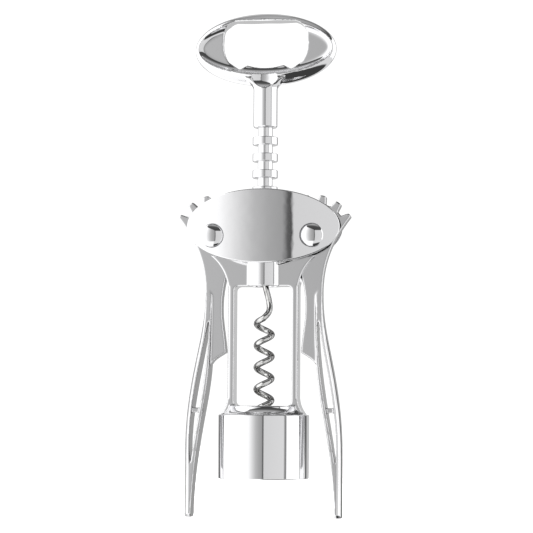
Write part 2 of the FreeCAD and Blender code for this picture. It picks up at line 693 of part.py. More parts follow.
def main():
    os.makedirs("parts", exist_ok=True)
    plate = front_plate()
    lever = right_lever()
    pieces = {
        "frame_casting": frame_casting(),
        "head_front_plate": plate,
        "head_rear_plate": rear_of(plate),
        "bell_sleeve": bell_sleeve(),
        "bell_liner": bell_liner(),
        "lever_right": lever,
        "lever_left": left_of(lever),
        "rack_sleeve": rack_sleeve(),
        "worm": worm(),
        "shank_collar": shank_collar(),
        "handle_pin": pin_blank(),
        "opener_handle": opener_handle(),
    }
    for name, x in (("left", -PIVOT_X), ("right", PIVOT_X)):
        pieces["pivot_rivet_" + name] = rivet(x)
        pieces["rivet_cap_" + name] = rivet_cap(x)
        pieces["front_washer_" + name] = washer(x, -CHEEK_Y)
        pieces["rear_washer_" + name] = washer(x, CHEEK_Y - WASHER_THICKNESS)
    for name, shape in pieces.items():
        assert shape.isValid(), name
        shape.exportStep("parts/" + name + ".step")
        print("%-20s %9.1f mm3" % (name, shape.Volume))


main()
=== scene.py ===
import json
import math

import bmesh
import bpy
from bpy.props import FloatProperty, FloatVectorProperty, IntProperty, PointerProperty
from mathutils import Matrix, Vector


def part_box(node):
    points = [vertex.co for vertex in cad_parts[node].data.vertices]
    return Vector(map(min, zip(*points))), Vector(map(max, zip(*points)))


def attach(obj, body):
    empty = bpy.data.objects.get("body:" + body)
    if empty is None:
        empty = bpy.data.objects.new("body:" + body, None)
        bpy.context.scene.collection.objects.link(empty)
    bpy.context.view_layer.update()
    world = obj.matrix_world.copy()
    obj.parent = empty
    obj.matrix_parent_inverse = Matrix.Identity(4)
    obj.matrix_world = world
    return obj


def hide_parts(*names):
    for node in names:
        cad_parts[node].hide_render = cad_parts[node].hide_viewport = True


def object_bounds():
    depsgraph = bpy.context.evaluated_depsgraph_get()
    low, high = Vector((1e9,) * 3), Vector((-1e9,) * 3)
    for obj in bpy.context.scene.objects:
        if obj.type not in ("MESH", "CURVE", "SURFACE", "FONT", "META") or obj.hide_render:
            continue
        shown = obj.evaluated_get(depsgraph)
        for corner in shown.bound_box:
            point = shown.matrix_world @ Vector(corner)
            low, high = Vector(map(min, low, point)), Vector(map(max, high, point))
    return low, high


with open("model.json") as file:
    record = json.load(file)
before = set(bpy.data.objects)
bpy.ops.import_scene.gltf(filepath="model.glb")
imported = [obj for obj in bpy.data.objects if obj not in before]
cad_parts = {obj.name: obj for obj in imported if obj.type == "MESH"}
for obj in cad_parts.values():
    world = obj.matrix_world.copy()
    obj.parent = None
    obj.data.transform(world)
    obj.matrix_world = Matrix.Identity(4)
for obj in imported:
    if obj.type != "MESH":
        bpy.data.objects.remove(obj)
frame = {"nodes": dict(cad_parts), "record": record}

bl_info = {
    "name": "Lever Corkscrew",
    "version": (1, 0, 0),
    "blender": (4, 5, 0),
    "location": "View3D > Sidebar > Corkscrew",
    "description": "Finishes the packed lever corkscrew: polished castings, turned parts, worm and studio",
    "category": "Object",
}

CAD_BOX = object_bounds()
MM = 0.001
JOINTS = {joint["name"]: joint for joint in frame["record"]["behaviour"]["joints"]}
PIVOT_X, _, PIVOT_Z = JOINTS["lever_right_pivot"]["pos_m"]

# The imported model's sizes that its boxes don't give.
SEAT_Y = 7.9 * MM
SEAT_MARGIN = 0.2 * MM
RIVET_RIM = 0.45 * MM
RIVET_TENON = 1.0 * MM
RACK_CORE = 2.8 * MM
RACK_BORE = 1.21 * MM
RACK_PITCH = 2.0 * MM * math.pi
RACK_RING = 3.1 * MM
RACK_LAND = 5.5 * MM
RACK_RINGS = 8
RACK_TOP_GAP = 3.45 * MM
COIL_TOP = 59.85 * MM
COIL_END_ANGLE = math.radians(270.0)
SHANK_RISE = [Vector((2.0, -1.3, 62.75)) * MM, Vector((1.75, -0.2, 66.65)) * MM,
              Vector((0, 0, 74.3)) * MM, Vector((0, 0, 84.0)) * MM]

# The rounding of a lever's outer side grows between these depths below the pivot.
GRIP_START = 17.0 * MM
GRIP_FULL = 46.0 * MM

# Edges sharper than this stay sharp in the shading of what is made here.
SHARP_ANGLE = math.radians(38)

# Facets round the rivets, their seats and the rack.
SMALL_PART_STEPS = 96

# The colour of the painted shade on the sides of the worm and the levers that turn away from the view.
SIDE_SHADE = (0.05, 0.048, 0.046, 1.0)


# ---------------------------------------------------------------- properties

class CorkscrewSizes(bpy.types.PropertyGroup):
    """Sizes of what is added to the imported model."""

    grain: FloatProperty(
        name="Casting grain", description="Size of the facets that a casting is rebuilt from",
        default=0.26 * MM, min=0.1 * MM, max=2 * MM, subtype="DISTANCE", unit="LENGTH")
    rounding: IntProperty(
        name="Polishing rounds", description="How often a casting's edges are eased",
        default=5, min=0, max=40)
    turn_steps: IntProperty(
        name="Turning steps", description="Facets round a turned part", default=160, min=24, max=512)
    edge_round: FloatProperty(
        name="Turned edge", description="Radius on the edges of the turned parts",
        default=0.28 * MM, min=0.0, max=2 * MM, subtype="DISTANCE", unit="LENGTH")
    worm_pitch: FloatProperty(
        name="Worm pitch", description="Rise of the worm in one turn",
        default=8.2 * MM, min=2 * MM, max=20 * MM, subtype="DISTANCE", unit="LENGTH")
    flank_width: FloatProperty(
        name="Flank width", description="How far the rounding of a lever's outer side reaches in",
        default=2.0 * MM, min=0.1 * MM, max=5 * MM, subtype="DISTANCE", unit="LENGTH")
    flank_depth: FloatProperty(
        name="Flank depth", description="How far the rounding of a lever's outer side reaches back",
        default=3.4 * MM, min=0.1 * MM, max=5 * MM, subtype="DISTANCE", unit="LENGTH")
    crown_radius: FloatProperty(
        name="Plate crown", description="Radius of the cover plates' crowned faces",
        default=88.0 * MM, min=30 * MM, max=1.0, subtype="DISTANCE", unit="LENGTH")
    wire_radius: FloatProperty(
        name="Wire radius", description="Radius of the worm's wire",
        default=1.15 * MM, min=0.3 * MM, max=3 * MM, subtype="DISTANCE", unit="LENGTH")


class CorkscrewFinish(bpy.types.PropertyGroup):
    """Colours and wear of the finishes."""

    chrome: FloatVectorProperty(
        name="Chrome", description="Reflection colour of the chrome",
        default=(0.86, 0.86, 0.87), size=3, min=0, max=1, subtype="COLOR")
    steel: FloatVectorProperty(
        name="Steel", description="Reflection colour of the worm's steel",
        default=(0.80, 0.80, 0.79), size=3, min=0, max=1, subtype="COLOR")
    nylon: FloatVectorProperty(
        name="Nylon", description="Colour of the bell's liner",
        default=(0.62, 0.62, 0.60), size=3, min=0, max=1, subtype="COLOR")
    haze: FloatProperty(
        name="Haze", description="Least roughness of a polished face", default=0.045, min=0.0, max=1.0,
        subtype="FACTOR")


class CorkscrewStudio(bpy.types.PropertyGroup):
    """Camera and floor."""

    azimuth: FloatProperty(
        name="Azimuth", description="Camera's angle to the right of the front",
        default=math.radians(8.0), subtype="ANGLE", unit="ROTATION")
    elevation: FloatProperty(
        name="Elevation", description="Camera's angle above the horizon",
        default=math.radians(-4.0), subtype="ANGLE", unit="ROTATION")
    roll: FloatProperty(
        name="Roll", description="Camera's turn about its own axis",
        default=math.radians(0.33), subtype="ANGLE", unit="ROTATION")
    distance: FloatProperty(
        name="Distance", description="From the camera to the object",
        default=0.78, min=0.1, subtype="DISTANCE", unit="LENGTH")
    frame_width: FloatProperty(
        name="Frame width", description="Width that the picture takes in at the object",
        default=0.2009, min=0.01, subtype="DISTANCE", unit="LENGTH")
    aim_x: FloatProperty(
        name="Aim X", description="Sideways place of the picture's centre",
        default=0.0007, subtype="DISTANCE", unit="LENGTH")
    aim_z: FloatProperty(
        name="Aim Z", description="Height of the picture's centre",
        default=0.0796, subtype="DISTANCE", unit="LENGTH")
    floor_half: FloatProperty(
        name="Floor", description="Half of the floor's side", default=1.6, min=0.5, subtype="DISTANCE",
        unit="LENGTH")


# ---------------------------------------------------------------- shader groups

def new_group(name, inputs, outputs):
    """An empty shader group with named sockets; each is (name, socket type, default)."""
    group = bpy.data.node_groups.new(name, "ShaderNodeTree")
    for label, kind, value in inputs:
        socket = group.interface.new_socket(label, in_out="INPUT", socket_type=kind)
        socket.default_value = value
    for label, kind in outputs:
        group.interface.new_socket(label, in_out="OUTPUT", socket_type=kind)
    return group, group.nodes.new("NodeGroupInput"), group.nodes.new("NodeGroupOutput")


def math_node(tree, operation, a, b=None):
    """A Math node; a and b are sockets or numbers."""
    node = tree.nodes.new("ShaderNodeMath")
    node.operation = operation
    for socket, value in zip(node.inputs, (a, b)):
        if value is None:
            continue
        if isinstance(value, bpy.types.NodeSocket):
            tree.links.new(value, socket)
        else:
            socket.default_value = value
    return node.outputs[0]


def noise_node(tree, vector, scale, detail, rough=0.5):
    """A Noise node; the scale is a socket or a number."""
    node = tree.nodes.new("ShaderNodeTexNoise")
    node.inputs["Detail"].default_value = detail
    node.inputs["Roughness"].default_value = rough
    tree.links.new(vector, node.inputs["Vector"])
    if isinstance(scale, bpy.types.NodeSocket):
        tree.links.new(scale, node.inputs["Scale"])
    else:
        node.inputs["Scale"].default_value = scale
    return node.outputs["Fac"]


def span_node(tree, value, low, high, to_low, to_high):
    """A Map Range node; the two results are sockets or numbers."""
    node = tree.nodes.new("ShaderNodeMapRange")
    tree.links.new(value, node.inputs["Value"])
    node.inputs["From Min"].default_value = low
    node.inputs["From Max"].default_value = high
    for name, end in (("To Min", to_low), ("To Max", to_high)):
        if isinstance(end, bpy.types.NodeSocket):
            tree.links.new(end, node.inputs[name])
        else:
            node.inputs[name].default_value = end
    return node.outputs["Result"]


def object_place(tree, stretch=(1, 1, 1), turn=(0, 0, 0)):
    """The place on the piece, stretched and turned."""
    place = tree.nodes.new("ShaderNodeTexCoord")
    mapping = tree.nodes.new("ShaderNodeMapping")
    mapping.inputs["Scale"].default_value = stretch
    mapping.inputs["Rotation"].default_value = turn
    tree.links.new(place.outputs["Object"], mapping.inputs["Vector"])
    return mapping.outputs["Vector"]


def polish_haze_group():
    """Roughness of a polished face: clear patches, wiped haze and a few finger smudges."""
    group, given, made = new_group(
        "Polish haze",
        [("Least", "NodeSocketFloat", 0.04), ("Most", "NodeSocketFloat", 0.12),
         ("Patch scale", "NodeSocketFloat", 60.0)],
        [("Roughness", "NodeSocketFloat")])
    place = object_place(group)
    patches = noise_node(group, place, given.outputs["Patch scale"], 5.0, 0.6)
    fine = noise_node(group, place, 900.0, 3.0)
    smudge = span_node(group, patches, 0.52, 0.72, 0.0, 1.0)
    mixed = math_node(group, "ADD", math_node(group, "MULTIPLY", smudge, 0.8),
                      math_node(group, "MULTIPLY", fine, 0.25))
    rough = span_node(group, mixed, 0.0, 1.05, given.outputs["Least"], given.outputs["Most"])
    group.links.new(rough, made.inputs["Roughness"])
    return group


def hairline_group():
    """Fine scratches in two directions, as a mask and as a height."""
    group, given, made = new_group(
        "Hairline scratches",
        [("Amount", "NodeSocketFloat", 0.5)],
        [("Mask", "NodeSocketFloat"), ("Height", "NodeSocketFloat")])
    masks = []
    directions = (((2600, 40, 90), (0.2, 0.1, 0.5), 0.70),
                  ((60, 90, 3000), (0.1, 0.7, 0.0), 0.72))
    for stretch, turn, cut in directions:
        place = object_place(group, stretch, turn)
        streaks = noise_node(group, place, 1.0, 2.0)
        masks.append(span_node(group, streaks, cut, cut + 0.06, 0.0, 1.0))
    both = math_node(group, "MAXIMUM", masks[0], masks[1])
    both = math_node(group, "MULTIPLY", both, given.outputs["Amount"])
    group.links.new(both, made.inputs["Mask"])
    group.links.new(math_node(group, "MULTIPLY", both, -1.0), made.inputs["Height"])
    return group


def casting_ripple_group():
    """The slow ripple and the fine peel that plating keeps from a die casting."""
    group, given, made = new_group(
        "Casting ripple",
        [("Ripple scale", "NodeSocketFloat", 90.0), ("Peel", "NodeSocketFloat", 0.1)],
        [("Height", "NodeSocketFloat")])
    place = object_place(group)
    slow = noise_node(group, place, given.outputs["Ripple scale"], 1.5)
    peel = noise_node(group, place, 1400.0, 2.0)
    height = math_node(group, "ADD", slow, math_node(group, "MULTIPLY", peel, given.outputs["Peel"]))
    group.links.new(height, made.inputs["Height"])
    return group


def edge_highlight_and_shade_group():
    """A painted highlight on convex edges, broken up unevenly, and painted shade in concave corners, read
    from the surface's own curvature.
    """
    group, given, made = new_group(
        "Edge highlight and corner shade",
        [("Colour", "NodeSocketColor", (0.8, 0.8, 0.8, 1.0)), ("Rubbed", "NodeSocketFloat", 0.4),
         ("Grime", "NodeSocketFloat", 0.5)],
        [("Colour", "NodeSocketColor"), ("Corner", "NodeSocketFloat")])
    geometry = group.nodes.new("ShaderNodeNewGeometry")
    broken = noise_node(group, object_place(group), 500.0, 3.0)
    edge = span_node(group, geometry.outputs["Pointiness"], 0.52, 0.60, 0.0, 1.0)
    edge = math_node(group, "MULTIPLY", edge, span_node(group, broken, 0.4, 0.6, 0.4, 1.0))
    edge = math_node(group, "MULTIPLY", edge, given.outputs["Rubbed"])
    corner = span_node(group, geometry.outputs["Pointiness"], 0.49, 0.42, 0.0, 1.0)
    corner = math_node(group, "MULTIPLY", corner, given.outputs["Grime"])
    # painted highlight: convex edges lightened
    lighter = group.nodes.new("ShaderNodeMix")
    lighter.data_type = "RGBA"
    group.links.new(edge, lighter.inputs["Factor"])
    group.links.new(given.outputs["Colour"], lighter.inputs[6])
    lighter.inputs[7].default_value = (0.93, 0.93, 0.93, 1.0)
    # painted shade: concave corners darkened
    darker = group.nodes.new("ShaderNodeMix")
    darker.data_type = "RGBA"
    group.links.new(corner, darker.inputs["Factor"])
    group.links.new(lighter.outputs[2], darker.inputs[6])
    darker.inputs[7].default_value = (0.22, 0.21, 0.20, 1.0)
    group.links.new(darker.outputs[2], made.inputs["Colour"])
    group.links.new(corner, made.inputs["Corner"])
    return group


def turning_mark_group():
    """Faint rings left by the lathe, stacked along the upright axis."""
    group, given, made = new_group(
        "Turning marks",
        [("Density", "NodeSocketFloat", 2200.0)],
        [("Height", "NodeSocketFloat")])
    place = object_place(group)
    split = group.nodes.new("ShaderNodeSeparateXYZ")
    group.links.new(place, split.inputs[0])
    along = group.nodes.new("ShaderNodeCombineXYZ")
    group.links.new(split.outputs["Z"], along.inputs["Z"])
    rings = noise_node(group, along.outputs[0], given.outputs["Density"], 3.0, 0.7)
    group.links.new(rings, made.inputs["Height"])
    return group


def nylon_fleck_group():
    """Colour and roughness of moulded nylon: slow clouding and a fine grained skin."""
    group, given, made = new_group(
        "Nylon skin",
        [("Colour", "NodeSocketColor", (0.6, 0.6, 0.6, 1.0))],
        [("Colour", "NodeSocketColor"), ("Roughness", "NodeSocketFloat"), ("Height", "NodeSocketFloat")])
    place = object_place(group)
    cloud = noise_node(group, place, 120.0, 4.0)
    skin = noise_node(group, place, 2400.0, 2.0)
    shade = group.nodes.new("ShaderNodeMix")
    shade.data_type = "RGBA"
    shade.blend_type = "MULTIPLY"
    group.links.new(span_node(group, cloud, 0.3, 0.7, 0.0, 0.25), shade.inputs["Factor"])
    group.links.new(given.outputs["Colour"], shade.inputs[6])
    shade.inputs[7].default_value = (0.80, 0.79, 0.76, 1.0)
    group.links.new(shade.outputs[2], made.inputs["Colour"])
    group.links.new(span_node(group, skin, 0.3, 0.7, 0.38, 0.55), made.inputs["Roughness"])
    group.links.new(skin, made.inputs["Height"])
    return group


GROUP_MAKERS = {
    "Polish haze": polish_haze_group,
    "Hairline scratches": hairline_group,
    "Casting ripple": casting_ripple_group,
    "Edge highlight and corner shade": edge_highlight_and_shade_group,
    "Turning marks": turning_mark_group,
    "Nylon skin": nylon_fleck_group,
}


def place_group(tree, name, **values):
    """Puts a shader group in a material, and makes the group the first time."""
    group = bpy.data.node_groups.get(name) or GROUP_MAKERS[name]()
    node = tree.nodes.new("ShaderNodeGroup")
    node.node_tree = group
    for label, value in values.items():
        node.inputs[label.replace("_", " ")].default_value = value
    return node


# ---------------------------------------------------------------- materials

def blank_material(name):
    """A material with only its shader and output."""
    material = bpy.data.materials.new(name)
    material.use_nodes = True
    tree = material.node_tree
    tree.nodes.clear()
    out = tree.nodes.new("ShaderNodeOutputMaterial")
    shader = tree.nodes.new("ShaderNodeBsdfPrincipled")
    tree.links.new(shader.outputs[0], out.inputs["Surface"])
    return material, tree, shader


def rgba(colour):
    """A colour with full cover."""
    return (colour[0], colour[1], colour[2], 1.0)


def stacked_bumps(tree, shader, heights):
    """Chains Bump nodes; each entry is (height socket, strength, depth in metres)."""
    normal = None
    for height, strength, depth in heights:
        bump = tree.nodes.new("ShaderNodeBump")
        bump.inputs["Strength"].default_value = strength
        bump.inputs["Distance"].default_value = depth
        tree.links.new(height, bump.inputs["Height"])
        if normal is not None:
            tree.links.new(normal, bump.inputs["Normal"])
        normal = bump.outputs["Normal"]
    tree.links.new(normal, shader.inputs["Normal"])


def metal(name, colour, least, most, patch, scratches, ripple, peel, turned=0.0, edge_highlight=0.3, corner_shade_and_haze=0.5,
          ripple_scale=90.0):
    """A plated or bare metal with haze, hairlines and ripple, a painted highlight on its convex edges, and
    painted shade and more roughness in its corners.
    """
    material, tree, shader = blank_material(name)
    shader.inputs["Metallic"].default_value = 1.0
    # painted edge highlight and painted corner shade in the base colour
    highlight_and_shade = place_group(tree, "Edge highlight and corner shade", Colour=rgba(colour), Rubbed=edge_highlight, Grime=corner_shade_and_haze)
    haze = place_group(tree, "Polish haze", Least=least, Most=most, Patch_scale=patch)
    lines = place_group(tree, "Hairline scratches", Amount=scratches)
    form = place_group(tree, "Casting ripple", Peel=peel, Ripple_scale=ripple_scale)
    tree.links.new(highlight_and_shade.outputs["Colour"], shader.inputs["Base Color"])
    rough = math_node(tree, "ADD", haze.outputs["Roughness"],
                      math_node(tree, "MULTIPLY", lines.outputs["Mask"], 0.12))
    rough = math_node(tree, "ADD", rough, math_node(tree, "MULTIPLY", highlight_and_shade.outputs["Corner"], 0.25))
    tree.links.new(rough, shader.inputs["Roughness"])
    heights = [(form.outputs["Height"], 1.0, ripple), (lines.outputs["Height"], 0.12, 0.004 * MM)]
    if turned > 0.0:
        marks = place_group(tree, "Turning marks")
        heights.append((marks.outputs["Height"], 1.0, turned))
    stacked_bumps(tree, shader, heights)
    return material


def painted_side_shade(material, start, full, depth, scale, streaks):
    """Paints shade into a polished piece's colour where its skin turns away from the view, unevenly along
    its length.
    """
    tree = material.node_tree
    shader = next(n for n in tree.nodes if n.type == "BSDF_PRINCIPLED")
    given = shader.inputs["Base Color"].links[0].from_socket
    facing = tree.nodes.new("ShaderNodeLayerWeight")
    facing.inputs["Blend"].default_value = 0.5
    streak = noise_node(tree, object_place(tree), scale, 4.0, 0.6)
    uneven = span_node(tree, streak, 0.35, 0.65, -streaks, streaks)
    spread = math_node(tree, "ADD", facing.outputs["Facing"], uneven)
    shade = tree.nodes.new("ShaderNodeMix")
    shade.data_type = "RGBA"
    tree.links.new(span_node(tree, spread, start, full, 0.0, depth), shade.inputs["Factor"])
    tree.links.new(given, shade.inputs[6])
    # painted shade: the colour that the turned-away sides are darkened towards
    shade.inputs[7].default_value = SIDE_SHADE
    tree.links.new(shade.outputs[2], shader.inputs["Base Color"])
    return material


def drawn_wire(name, colour):
    """Drawn steel wire: bright along its middle, with painted shade darkening it towards its sides,
    unevenly along its grain.
    """
    material = metal(name, colour, least=0.05, most=0.13, patch=180.0, scratches=0.5, ripple=0.02 * MM,
                     peel=0.15, edge_highlight=0.5, corner_shade_and_haze=0.6)
    # painted shade on the wire's sides that turn away from the view
    return painted_side_shade(material, start=0.05, full=0.50, depth=0.80, scale=420.0, streaks=0.16)


def nylon(name, colour):
    """Moulded nylon with a grained skin."""
    material, tree, shader = blank_material(name)
    skin = place_group(tree, "Nylon skin", Colour=rgba(colour))
    tree.links.new(skin.outputs["Colour"], shader.inputs["Base Color"])
    tree.links.new(skin.outputs["Roughness"], shader.inputs["Roughness"])
    stacked_bumps(tree, shader, [(skin.outputs["Height"], 0.4, 0.02 * MM)])
    return material


def finish_for(slot):
    """The material of a slot, made once from the finish settings."""
    name = slot + "_finish"
    known = bpy.data.materials.get(name)
    if known is not None:
        return known
    look = bpy.context.scene.corkscrew_finish
    chrome = tuple(look.chrome)
    steel = tuple(look.steel)
    haze = look.haze
    if slot == "casting_chrome":
        return metal(name, chrome, least=haze, most=haze + 0.06, patch=70.0, scratches=0.25,
                     ripple=0.010 * MM, peel=0.03)
    if slot == "lever_chrome":
        material = metal(name, chrome, least=haze + 0.02, most=haze + 0.10, patch=60.0, scratches=0.30,
                         ripple=0.012 * MM, peel=0.04)
        # painted shade on the levers' sides that turn away from the view
        return painted_side_shade(material, start=0.28, full=0.66, depth=0.72, scale=90.0, streaks=0.05)
    if slot == "plate_chrome":
        return metal(name, chrome, least=haze - 0.015, most=haze + 0.03, patch=50.0, scratches=0.12,
                     ripple=0.045 * MM, peel=0.01, corner_shade_and_haze=0.2, ripple_scale=150.0)
    if slot == "bell_chrome":
        return metal(name, chrome, least=haze - 0.01, most=haze + 0.04, patch=55.0, scratches=0.15,
                     ripple=0.004 * MM, peel=0.01, corner_shade_and_haze=0.2)
    if slot == "rack_chrome":
        return metal(name, chrome, least=haze, most=haze + 0.08, patch=90.0, scratches=0.3,
                     ripple=0.003 * MM, peel=0.02, turned=0.002 * MM)
    if slot == "rivet_chrome":
        return metal(name, chrome, least=haze, most=haze + 0.05, patch=90.0, scratches=0.3,
                     ripple=0.003 * MM, peel=0.02)
    if slot == "worm_steel":
        return drawn_wire(name, steel)
    if slot in ("pin_steel", "washer_steel"):
        return metal(name, steel, least=0.18, most=0.32, patch=160.0, scratches=0.6,
                     ripple=0.006 * MM, peel=0.2)
    if slot == "liner_nylon":
        return nylon(name, tuple(look.nylon))
    raise ValueError("no finish is known for the slot " + slot)


# ---------------------------------------------------------------- mesh helpers

def add_piece(name, mesh, slot, body, *nodes):
    """Links a mesh as a piece in place of CAD nodes, which it hides, with the finish of its slot, under
    its body's empty.
    """
    piece = bpy.data.objects.new(name, mesh)
    bpy.context.scene.collection.objects.link(piece)
    mesh.materials.clear()
    mesh.materials.append(finish_for(slot))
    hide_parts(*nodes)
    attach(piece, body)
    return piece


def mesh_from(bm, name):
    """Finishes a bmesh: one skin, outward faces, smooth shading with sharp edges kept."""
    bmesh.ops.remove_doubles(bm, verts=bm.verts, dist=1e-7)
    bmesh.ops.recalc_face_normals(bm, faces=bm.faces)
    mesh = bpy.data.meshes.new(name)
    bm.to_mesh(mesh)
    bm.free()
    mesh.shade_smooth()
    mesh.set_sharp_from_angle(angle=SHARP_ANGLE)
    return mesh


def rounded(points, segments=6):
    """A closed outline whose corners are eased; each point is (u, v, radius)."""
    outline = []
    count = len(points)
    for i, (u, v, radius) in enumerate(points):
        here = Vector((u, v))
        to_last = Vector(points[i - 1][:2]) - here
        to_next = Vector(points[(i + 1) % count][:2]) - here
        if radius <= 0.0:
            outline.append(here)
            continue
        half = to_last.angle(to_next) / 2.0
        reach = min(radius / math.tan(half), to_last.length * 0.49, to_next.length * 0.49)
        r = reach * math.tan(half)
        bisector = (to_last.normalized() + to_next.normalized()).normalized()
        centre = here + bisector * (r / math.sin(half))
        start = here + to_last.normalized() * reach - centre
        end = here + to_next.normalized() * reach - centre
        turn = start.angle_signed(end)
        for k in range(segments + 1):
            a = -turn * k / segments
            outline.append(centre + Matrix.Rotation(a, 2) @ start)
    return outline


def lathe(name, points, steps, axis="Z", centre=(0, 0, 0)):
    """Turns a closed outline of (radius, along) about Z, or about Y through a centre."""
    outline = rounded(points)
    bm = bmesh.new()
    rings = []
    for k in range(steps):
        a = 2.0 * math.pi * k / steps
        ring = []
        for radius, along in outline:
            if axis == "Z":
                place = (radius * math.cos(a), radius * math.sin(a), along)
            else:
                place = (radius * math.cos(a), along, radius * math.sin(a))
            ring.append(bm.verts.new(Vector(place) + Vector(centre)))
        rings.append(ring)
    count = len(outline)
    for k in range(steps):
        one, two = rings[k], rings[(k + 1) % steps]
        for i in range(count):
            j = (i + 1) % count
            if outline[i][0] < 1e-9 and outline[j][0] < 1e-9:
                continue
            bm.faces.new((one[i], one[j], two[j], two[i]))
    return mesh_from(bm, name)


def tube(name, path, radii, sides=28):
    """A round wire along a path of points, with a radius for each point and closed ends."""
    bm = bmesh.new()
    rings = []
    across = Vector((1, 0, 0))
    for i, point in enumerate(path):
        ahead = path[min(i + 1, len(path) - 1)] - path[max(i - 1, 0)]
        ahead.normalize()
        across = (across - ahead * across.dot(ahead)).normalized()
        up = ahead.cross(across)
        ring = []
        for k in range(sides):
            a = 2.0 * math.pi * k / sides
            ring.append(bm.verts.new(point + (across * math.cos(a) + up * math.sin(a)) * radii[i]))
        rings.append(ring)
    for one, two in zip(rings, rings[1:]):
        for k in range(sides):
            j = (k + 1) % sides
            bm.faces.new((one[k], one[j], two[j], two[k]))
    bm.faces.new(rings[0])
    bm.faces.new(rings[-1])
    return mesh_from(bm, name)


def evaluated_mesh(obj):
    """The mesh that an object's modifiers give."""
    graph = bpy.context.evaluated_depsgraph_get()
    graph.update()
    return bpy.data.meshes.new_from_object(obj.evaluated_get(graph), depsgraph=graph)


def softened_copy(node, name, grain, rounds, reshape=None):
    """Rebuilds a CAD node's skin in small even facets and eases its edges, as polishing does."""
    source = frame["nodes"][node].data.copy()
    bm = bmesh.new()
    bm.from_mesh(source)
    bmesh.ops.remove_doubles(bm, verts=bm.verts, dist=1e-6)
    bm.to_mesh(source)
    bm.free()
    work = bpy.data.objects.new(name + "_work", source)
    bpy.context.scene.collection.objects.link(work)
    remesh = work.modifiers.new("Rebuild", "REMESH")
    remesh.mode = "VOXEL"
    remesh.voxel_size = grain
    ease = work.modifiers.new("Ease", "SMOOTH")
    ease.factor = 0.5
    ease.iterations = rounds
    mesh = evaluated_mesh(work)
    bpy.data.objects.remove(work)
    if reshape is not None:
        reshape(mesh)
    low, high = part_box(node)
    for vertex in mesh.vertices:
        for axis in range(3):
            vertex.co[axis] = min(max(vertex.co[axis], low[axis]), high[axis])
    mesh.name = name
    mesh.shade_smooth()
    return mesh


# ---------------------------------------------------------------- operators

class CORKSCREW_OT_frame_casting(bpy.types.Operator):
    """Rebuild the frame casting with polished edges"""

    bl_idname = "corkscrew.frame_casting"
    bl_label = "Frame casting"

    def execute(self, context):
        sizes = context.scene.corkscrew_sizes
        mesh = softened_copy("frame_casting", "frame_casting_polished", sizes.grain, sizes.rounding)
        add_piece("frame_casting_polished", mesh, "casting_chrome", "frame", "frame_casting")
        return {"FINISHED"}


def smooth_share(value, low, high):
    """0 below low, 1 above high, and an easy rise between them."""
    t = min(max((value - low) / (high - low), 0.0), 1.0)
    return t * t * (3.0 - 2.0 * t)


def bow_flank(sign, width, depth):
    """Rounds a lever's outer side over the grip, where the hand presses it."""

    def reshape(mesh):
        step = 0.8 * MM
        edge, half = {}, {}
        for vertex in mesh.vertices:
            key = round(vertex.co.z / step)
            edge[key] = max(edge.get(key, 0.0), sign * vertex.co.x)
            half[key] = max(half.get(key, 0.0), abs(vertex.co.y))

        def read(table, z):
            place = z / step
            key = math.floor(place)
            a = table.get(key, table.get(key + 1, 0.0))
            b = table.get(key + 1, a)
            return a + (b - a) * (place - key)

        for vertex in mesh.vertices:
            share = smooth_share(PIVOT_Z - vertex.co.z, GRIP_START, GRIP_FULL)
            if share <= 0.0:
                continue
            reach = width * share
            drop = depth * share
            outer = read(edge, vertex.co.z)
            face = read(half, vertex.co.z)
            u = 1.0 - (outer - sign * vertex.co.x) / reach
            v = (abs(vertex.co.y) - (face - drop)) / drop
            if u <= 0.0 or v <= 0.0:
                continue
            pull = max(u, v) / math.hypot(u, v)
            vertex.co.x = sign * (outer - (1.0 - u * pull) * reach)
            vertex.co.y = math.copysign(face - drop + v * pull * drop, vertex.co.y)

    return reshape


class CORKSCREW_OT_levers(bpy.types.Operator):
    """Rebuild both levers with polished edges and bowed outer faces"""

    bl_idname = "corkscrew.levers"
    bl_label = "Levers"

    def execute(self, context):
        sizes = context.scene.corkscrew_sizes
        for side, sign in (("left", -1), ("right", 1)):
            node = "lever_" + side
            name = node + "_polished"
            bow = bow_flank(sign, sizes.flank_width, sizes.flank_depth)
            mesh = softened_copy(node, name, sizes.grain, sizes.rounding, bow)
            add_piece(name, mesh, "lever_chrome", node, node)
        return {"FINISHED"}


class CORKSCREW_OT_handle(bpy.types.Operator):
    """Rebuild the opener handle with polished rims and dishes"""

    bl_idname = "corkscrew.handle"
    bl_label = "Opener handle"

    def execute(self, context):
        sizes = context.scene.corkscrew_sizes
        mesh = softened_copy("opener_handle", "opener_handle_polished", sizes.grain, sizes.rounding + 3)
        add_piece("opener_handle_polished", mesh, "casting_chrome", "screw", "opener_handle")
        return {"FINISHED"}


def crown_place(x, z, side, crown):
    """A point on a cover plate's crowned face, which bends about an upright axis."""
    radius, top = crown
    drop = radius - math.sqrt(radius * radius - x * x)
    return Vector((x, side * (top - drop), z))


